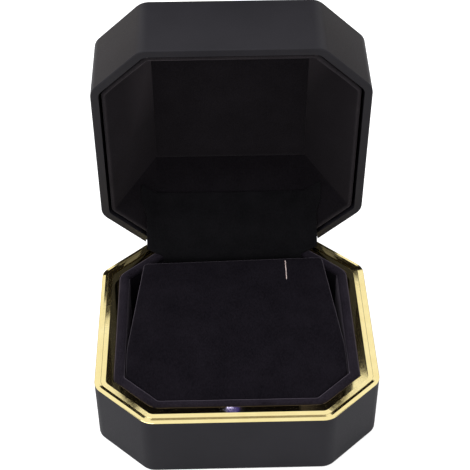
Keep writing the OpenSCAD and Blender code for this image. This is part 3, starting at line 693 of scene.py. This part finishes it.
pad = {
    "corners": [(-24.58, -35.3), (24.58, -35.3), (35.3, -24.58), (35.3, -12),
                (30.6, 28), (-30.6, 28), (-35.3, -12), (-35.3, -24.58)],
    "reachX": 35.3,
    "reachY": 31.65,
    "middleY": -3.65,
    "depth": 12,  # the block is made flat and this deep, then its points are moved
    "low": 5.6,
    "frontZ": 20.6,
    "backZ": 26.3,
    "crown": 0.5,
    "twist": 0.75,
    "twistX": 30.6,
    "edgeR": 1.0,
    "edgeSteps": 6,
    "cornerR": 1.3,
    "cornerSteps": 4,
    "draw": 0.6,
    "drawReach": 35,
    "cuts": ((-34.5, 34.5, 46), (-34.5, 27.5, 42), (-11, -2, 6)),
    "slitX": 17.9,
    "slitW": 0.27,
    "slitBack": 1.6,
    "slitL": 9.0,
    "slitD": 0.3,
    "spare": 0.01,
    "foamFrom": 0.12,
    "foamSpare": 0.1,
    "sideFrom": 0.8,  # share of the reach beyond which a low point belongs to the side walls
    "wave": 0.07,
    "waveScale": 0.09,
    "waveAt": 3,
    "smoothTo": 60,
    "fill": 0.9,
}


def padBlock():
    p = pad
    bm = bmesh.new()
    ring = [bm.verts.new((x, y, 0)) for x, y in p["corners"]]
    bm.faces.new(ring)
    roundOff(bm, ring, p["cornerR"], p["cornerSteps"], "VERTICES")
    walls = bmesh.ops.extrude_face_region(bm, geom=bm.faces[:1])["geom"]
    bmesh.ops.translate(bm, vec=(0, 0, -p["depth"]), verts=pointsOf(walls))
    bmesh.ops.recalc_face_normals(bm, faces=bm.faces)
    topEdges = [e for e in bm.edges if isLevel(e.verts, 0)]
    roundOff(bm, topEdges, p["edgeR"], p["edgeSteps"])
    for axis, (start, stop, count) in enumerate(p["cuts"]):
        cutAcross(bm, axis, start, stop, count)
    return bm


def cutSlit(bm):  # its floor and walls show the foam core
    p = pad
    half = p["slitW"] / 2
    high = p["corners"][4][1] - p["slitBack"]
    low = high - p["slitL"]
    for axis, at in ((0, p["slitX"] - half), (0, p["slitX"] + half), (1, low), (1, high)):
        cutAcross(bm, axis, at, at, 1)

    def isInSlit(c, spare):
        return abs(c.x - p["slitX"]) < half + spare and low - spare < c.y < high + spare

    pocket = [f for f in bm.faces if f.normal.z > 0.9 and isInSlit(f.calc_center_median(), 0)]
    sunk = bmesh.ops.extrude_face_region(bm, geom=pocket)["geom"]
    bmesh.ops.translate(bm, vec=(0, 0, -p["slitD"]), verts=pointsOf(sunk))
    bmesh.ops.delete(bm, geom=pocket, context="FACES")
    for f in bm.faces:
        c = f.calc_center_median()
        if isInSlit(c, p["spare"]) and -p["slitD"] - p["foamSpare"] < c.z < -p["foamFrom"]:
            f.material_index = 1


def shapePad(bm):  # tilts the block, crowns its top, draws its sides in and stands it on the board
    p = pad
    front, back, spare = p["corners"][0][1], p["corners"][4][1], p["spare"]
    for v in bm.verts:
        x, y, z = v.co
        up = (y - front) / (back - front)
        side = max(abs(x) / p["reachX"], abs(y - p["middleY"]) / p["reachY"])
        top = p["frontZ"] + (p["backZ"] - p["frontZ"]) * up
        top += p["crown"] * (1 - side * side) + p["twist"] * (x / p["twistX"]) * up * up
        top += p["wave"] * noise.noise(Vector((x, y, p["waveAt"])) * p["waveScale"])
        if z < spare - p["depth"]:
            v.co.z = p["low"]
        elif z < -p["edgeR"] - spare and side > p["sideFrom"]:  # the side walls share out what the block lacks in depth
            v.co.z = top + z * (top - p["low"]) / p["depth"]
        else:
            v.co.z = top + z
        draw = 1 + p["draw"] / p["drawReach"] * z / p["depth"]
        v.co.x *= draw
        v.co.y = p["middleY"] + (y - p["middleY"]) * draw


def makePad():
    bm = padBlock()
    cutSlit(bm)
    shapePad(bm)
    piece = makePiece(bm, "padCover", [finish["velvet"], finish["foam"]], pad["smoothTo"])
    fitPiece(piece, "base", "pad_cover")
    print("pad:", len(piece.data.polygons), "faces")


makePad()

lining = {
    "thickness": 1.2,
    "lipR": 0.4,
    "lipSteps": 3,
    "creaseR": 0.7,
    "creaseSteps": 4,
    "creaseFrom": 0.2,  # radians between faces that meet in a crease
    "lampAlong": 10.5,
    "lampHole": 3.5,
    "holeSteps": 24,
    "middleZ": 30,
    "smoothTo": 60,
    "softFrom": 50,
}
panel = {
    "thickness": 0.8,
    "gap": 0.12,
    "edgeR": 0.3,
    "edgeSteps": 3,
    "cuts": ((-24, 24, 16), (-24, 21, 15)),
    "wave": 0.05,
    "waveScale": 0.08,
    "smoothTo": 60,
}


def liningPoints():  # the eight corners of the lining's lip and the four of its roof, in the closed lid
    h, a = box["half"] - box["linerIn"], flatHalf(box["linerIn"])
    lip = []
    for k in range(4):
        turn = Matrix.Rotation(k * pi / 2, 3, "Z")
        lip += [turn @ Vector((h, a, box["linerZ"])), turn @ Vector((a, h, box["linerZ"]))]
    x, z = box["panelX"], box["panelZ"]
    back, front = box["panelBack"], box["panelFront"]
    return lip, [Vector((x, back, z)), Vector((-x, back, z)), Vector((-x, front, z)), Vector((x, front, z))]


def makeLining():
    s = lining
    lip, roof = liningPoints()
    bm = bmesh.new()
    low = [bm.verts.new(p) for p in lip]
    high = [bm.verts.new(p) for p in roof]
    for k in range(4):
        bm.faces.new((low[2 * k], low[2 * k + 1], high[k]))
        if k != 2:
            bm.faces.new((low[2 * k + 1], low[(2 * k + 2) % 8], high[(k + 1) % 4], high[k]))
    ring = (low[5], low[6], high[3], high[2])  # the front slope, which the lamp's hole goes through
    ringEdges = [bm.edges.get(pair) or bm.edges.new(pair) for pair in zip(ring, ring[1:] + ring[:1])]
    slope = (roof[2] - lip[5]).cross(lip[6] - lip[5]).normalized()
    run = Vector((0, roof[2].y - lip[5].y, roof[2].z - lip[5].z)).normalized()
    middle = Vector((0, lip[5].y, lip[5].z)) + run * s["lampAlong"]
    turn = slope.to_track_quat("Z", "Y").to_matrix().to_4x4()
    place = Matrix.Translation(middle) @ turn
    hole = bmesh.ops.create_circle(bm, segments=s["holeSteps"], radius=s["lampHole"], matrix=place)
    holeEdges = list({e for v in hole["verts"] for e in v.link_edges})
    bmesh.ops.triangle_fill(bm, use_beauty=True, edges=ringEdges + holeEdges, normal=slope)
    bmesh.ops.recalc_face_normals(bm, faces=bm.faces)
    centre = Vector((0, 0, s["middleZ"]))
    if sum((f.calc_center_median() - centre).dot(f.normal) * f.calc_area() for f in bm.faces) > 0:
        bmesh.ops.reverse_faces(bm, faces=bm.faces)  # the velvet side faces the hollow
    creases = [e for e in bm.edges if len(e.link_faces) == 2 and e.calc_face_angle() > s["creaseFrom"]]
    roundOff(bm, creases, s["creaseR"], s["creaseSteps"])
    piece = makePiece(bm, "lidLining", finish["liningVelvet"], s["smoothTo"], lid=True)
    solidify(piece, s["thickness"], -1)
    softenEdges(piece, s["lipR"], s["lipSteps"], s["softFrom"], clamp=False)
    fitPiece(piece, "lid", "lid_liner")


def makePanel():
    p = panel
    sizeX = 2 * (box["panelX"] - p["gap"])
    sizeY = box["panelBack"] - box["panelFront"] - 2 * p["gap"]
    bm = bmesh.new()
    bmesh.ops.create_cube(bm, size=1)
    bmesh.ops.scale(bm, vec=(sizeX, sizeY, p["thickness"]), verts=bm.verts)
    roundOff(bm, bm.edges[:], p["edgeR"], p["edgeSteps"])
    place = (0, (box["panelBack"] + box["panelFront"]) / 2, box["panelZ"] + p["thickness"] / 2)
    bmesh.ops.translate(bm, vec=place, verts=bm.verts)
    for axis, (start, stop, count) in enumerate(p["cuts"]):
        cutAcross(bm, axis, start, stop, count)
    for v in bm.verts:  # the card under the velvet is not dead flat
        v.co.z += p["wave"] * noise.noise(v.co * p["waveScale"])
    # the roof panel's copy of the velvet is lighter than the lining's walls: painted light
    piece = makePiece(bm, "roofPanel", finish["litPanelVelvet"], p["smoothTo"], lid=True)
    fitPiece(piece, "lid", "lid_panel")


makeLining()
makePanel()
print("lid lining: made")

# the velvet strip over the hinge: down the tray's back wall, across to the lid, and up the lining's back slope
strip = {
    "y": 35.15,
    "bottomZ": 8.8,
    "turnZ": 21.6,
    "bend": (36.2, 23.0),
    "leave": 8.0,
    "up": 15.3,
    "upSteps": 4,
    "off": 0.42,
    "runs": [12.8, 1.75, 11.0],  # how its rows are shared out over its first three stretches
    "tabW": 48.0,
    "midW": 59.5,
    "topW": 63.0,
    "waist": (13.2, 16.2),
    "flare": (23.5, 26.5),
    "topFrom": 0.97,
    "topDraw": 0.012,
    "thickness": 0.6,
    "edgeR": 0.2,
    "smoothTo": 80,
    "softFrom": 50,
    "turnShare": 0.85,  # a share of the free stretch, from the bend up towards the lining's slope
    "rows": 56,
    "columns": 28,
    "smoothings": 3,
    "measures": 200,
}


def hollowBack(x, z):  # y of the lining's back, in the closed lid, at a place across the box and a height
    lip, roof = liningPoints()
    t = (z - box["linerZ"]) / (box["panelZ"] - box["linerZ"])
    near = lip[1].lerp(roof[0], t)
    far = lip[0].lerp(roof[0], t)
    if abs(x) <= near.x:
        return near.y
    return near.y + (abs(x) - near.x) * (far.y - near.y) / (far.x - near.x)


def onSlope(x, along):
    lowY, highY = box["half"] - box["linerIn"], box["panelBack"]
    run = Vector((0, highY - lowY, box["panelZ"] - box["linerZ"])).normalized()
    z = box["linerZ"] + run.z * along
    inward = Vector((0, -run.z, run.y)) * strip["off"]
    return inLid() @ (Vector((x, hollowBack(x, z), z)) + inward)


def stripRuns():
    return strip["runs"] + [(strip["up"] - strip["leave"]) / strip["upSteps"]] * strip["upSteps"]


def stripPath(x, s):  # s from 0 at the lower end to 1 at the upper
    p = strip
    points = [Vector((x, p["y"], p["bottomZ"])), Vector((x, p["y"], p["turnZ"])), Vector((x, *p["bend"]))]
    points += [onSlope(x, p["leave"] + (p["up"] - p["leave"]) * k / p["upSteps"]) for k in range(p["upSteps"] + 1)]
    runs = stripRuns()
    place = s * sum(runs)
    for k, run in enumerate(runs):
        if place <= run or k == len(runs) - 1:
            return points[k].lerp(points[k + 1], min(1, place / run))
        place -= run


def ease(value, start, stop):
    t = min(1, max(0, (value - start) / (stop - start)))
    return t * t * (3 - 2 * t)


def makeStrip():
    p = strip
    bm = bmesh.new()
    bmesh.ops.create_grid(bm, x_segments=p["columns"], y_segments=p["rows"], size=0.5)
    total = sum(stripRuns())
    for v in bm.verts:
        s = v.co.y + 0.5
        width = p["tabW"] + (p["midW"] - p["tabW"]) * ease(s * total, *p["waist"])
        width += (p["topW"] - p["midW"]) * ease(s * total, *p["flare"])
        x = v.co.x * width
        if s > p["topFrom"]:
            x *= 1 - p["topDraw"] * (s - p["topFrom"]) / (1 - p["topFrom"])
        v.co = stripPath(x, s)
    for k in range(p["smoothings"]):
        inner = [v for v in bm.verts if not v.is_boundary]
        bmesh.ops.smooth_vert(bm, verts=inner, factor=0.5, use_axis_x=False, use_axis_y=True, use_axis_z=True)
    area = sum(f.calc_area() for f in bm.faces) * mm * mm
    bmesh.ops.recalc_face_normals(bm, faces=bm.faces)
    piece = makePiece(bm, "hingeStrip", finish["stripVelvet"], p["smoothTo"])
    solidify(piece, p["thickness"], 0)
    softenEdges(piece, p["edgeR"], limit=p["softFrom"])
    start = Vector((0, *p["bend"])) * mm
    end = start.lerp(onSlope(0, p["leave"]) * mm, p["turnShare"])
    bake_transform(piece)
    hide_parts("hinge_strip")
    n = p["measures"]
    length = sum((stripPath(0, (k + 1) / n) - stripPath(0, k / n)).length for k in range(n))
    print("strip: flat", round(p["topW"]), "x", round(length, 1), "mm, area", round(area / mm / mm), "mm2")


makeStrip()

studio = {
    "world": 0.92,
    "floorColour": (0.74, 0.74, 0.75),
    "floorRoughness": 0.8,
    "floorSpecular": 0.1,
    "floorGlow": 0.7,
    "floorReach": 4000,
    "keyPlace": (-260, -120, 640),
    "keyTarget": (0, 0, 40),
    "keySize": (420, 360),
    "keyPower": 1.5,
    "cardDistance": 600,
    "cardSteps": (16, 12),
    "cardColour": (0.012, 0.01, 0.009),
    "cardGlow": (1, 0.9, 0.75),
    "cards": [  # from and to, across and up in degrees as seen from the middle of the rim, and how bright each is
        {"across": (-25.0, -17.0), "up": (47.6, 54.6), "tone": 0},
        {"across": (19.4, 27.6), "up": (46.8, 54.4), "tone": 0},
        {"across": (-12.5, 16.5), "up": (56.6, 59.0), "tone": 0.3},
        {"across": (-15.9, 16.4), "up": (-1, 37.5), "tone": 0},
        {"across": (-13.8, 12.9), "up": (37, 48.6), "tone": 0},
        {"across": (12.5, 15.2), "up": (37, 44.4), "tone": 0},
        {"across": (-23.7, -14), "up": (22.3, 37.2), "tone": 0},
        {"across": (14, 24.9), "up": (21.8, 34.2), "tone": 0},
        {"across": (-112, -80), "up": (22, 54), "tone": 0},
        {"across": (80, 112), "up": (22, 54), "tone": 0},
        {"across": (-64, -25), "up": (-0.5, 26), "tone": 0.5},
        {"across": (25, 64), "up": (-0.5, 26), "tone": 0.3},
    ],
}


def keyLight():
    s = studio
    data = bpy.data.lights.new("keyLamp", "AREA")
    data.shape = "RECTANGLE"
    data.size, data.size_y = s["keySize"][0] * mm, s["keySize"][1] * mm
    data.energy = s["keyPower"]
    light = bpy.data.objects.new("keyLamp", data)
    bpy.context.scene.collection.objects.link(light)
    light.location = Vector(s["keyPlace"]) * mm
    light.rotation_euler = (Vector(s["keyTarget"]) - Vector(s["keyPlace"])).to_track_quat("-Z", "Y").to_euler()


def setWorld():  # plain white where the camera, metal and glass see it, a little less as light
    world = bpy.data.worlds.new("studio")
    bpy.context.scene.world = world
    world.use_nodes = True
    tree = world.node_tree
    background = tree.nodes["Background"]
    background.inputs["Color"].default_value = (1, 1, 1, 1)
    rays = addNode(tree, "LightPath")
    seen = addNode(tree, "Math", operation="MAXIMUM")
    through = addNode(tree, "Math", operation="MAXIMUM")
    level = addNode(tree, "MapRange")
    level.inputs["To Min"].default_value = studio["world"]
    level.inputs["To Max"].default_value = 1.0
    tree.links.new(rays.outputs["Is Camera Ray"], seen.inputs[0])
    tree.links.new(rays.outputs["Is Glossy Ray"], seen.inputs[1])
    tree.links.new(seen.outputs[0], through.inputs[0])
    tree.links.new(rays.outputs["Is Transmission Ray"], through.inputs[1])
    tree.links.new(through.outputs[0], level.inputs["Value"])
    tree.links.new(level.outputs["Result"], background.inputs["Strength"])


def makeFloor():
    material, tree, shader = newFinish("paleFloor")
    shader.inputs["Base Color"].default_value = (*studio["floorColour"], 1)
    shader.inputs["Roughness"].default_value = studio["floorRoughness"]
    shader.inputs["Specular IOR Level"].default_value = studio["floorSpecular"]
    shader.inputs["Emission Color"].default_value = (1, 1, 1, 1)
    rays = addNode(tree, "LightPath")
    glow = addNode(tree, "Math", operation="MULTIPLY")
    glow.inputs[1].default_value = studio["floorGlow"]
    tree.links.new(rays.outputs["Is Camera Ray"], glow.inputs[0])
    tree.links.new(glow.outputs[0], shader.inputs["Emission Strength"])
    bm = bmesh.new()
    bmesh.ops.create_grid(bm, x_segments=2, y_segments=2, size=studio["floorReach"])
    makePiece(bm, "floor", material)


def makeCards():  # dark cards round the set, which only the polished rim shows
    s = studio
    for k, card in enumerate(s["cards"]):
        material, _, shader = newFinish("card%dFinish" % k)
        shader.inputs["Base Color"].default_value = (*s["cardColour"], 1)
        shader.inputs["Roughness"].default_value = 1.0
        shader.inputs["Specular IOR Level"].default_value = 0
        shader.inputs["Emission Color"].default_value = (*s["cardGlow"], 1)
        shader.inputs["Emission Strength"].default_value = card["tone"]
        bm = bmesh.new()
        bmesh.ops.create_grid(bm, x_segments=s["cardSteps"][0], y_segments=s["cardSteps"][1], size=1)
        for v in bm.verts:
            spans = zip((card["across"], card["up"]), v.co)
            across, up = [radians(low + (high - low) * (1 + at) / 2) for (low, high), at in spans]
            away = Vector((sin(across) * cos(up), cos(across) * cos(up), sin(up)))
            v.co = Vector((0, 0, box["rimTop"])) + s["cardDistance"] * away
        piece = makePiece(bm, "card%d" % k, material)
        piece.visible_camera = False
        piece.visible_diffuse = False
        piece.visible_shadow = False
        piece.visible_transmission = False


setWorld()
makeFloor()
makeCards()
keyLight()
bpy.context.scene.view_settings.view_transform = "Standard"
print("studio: set")
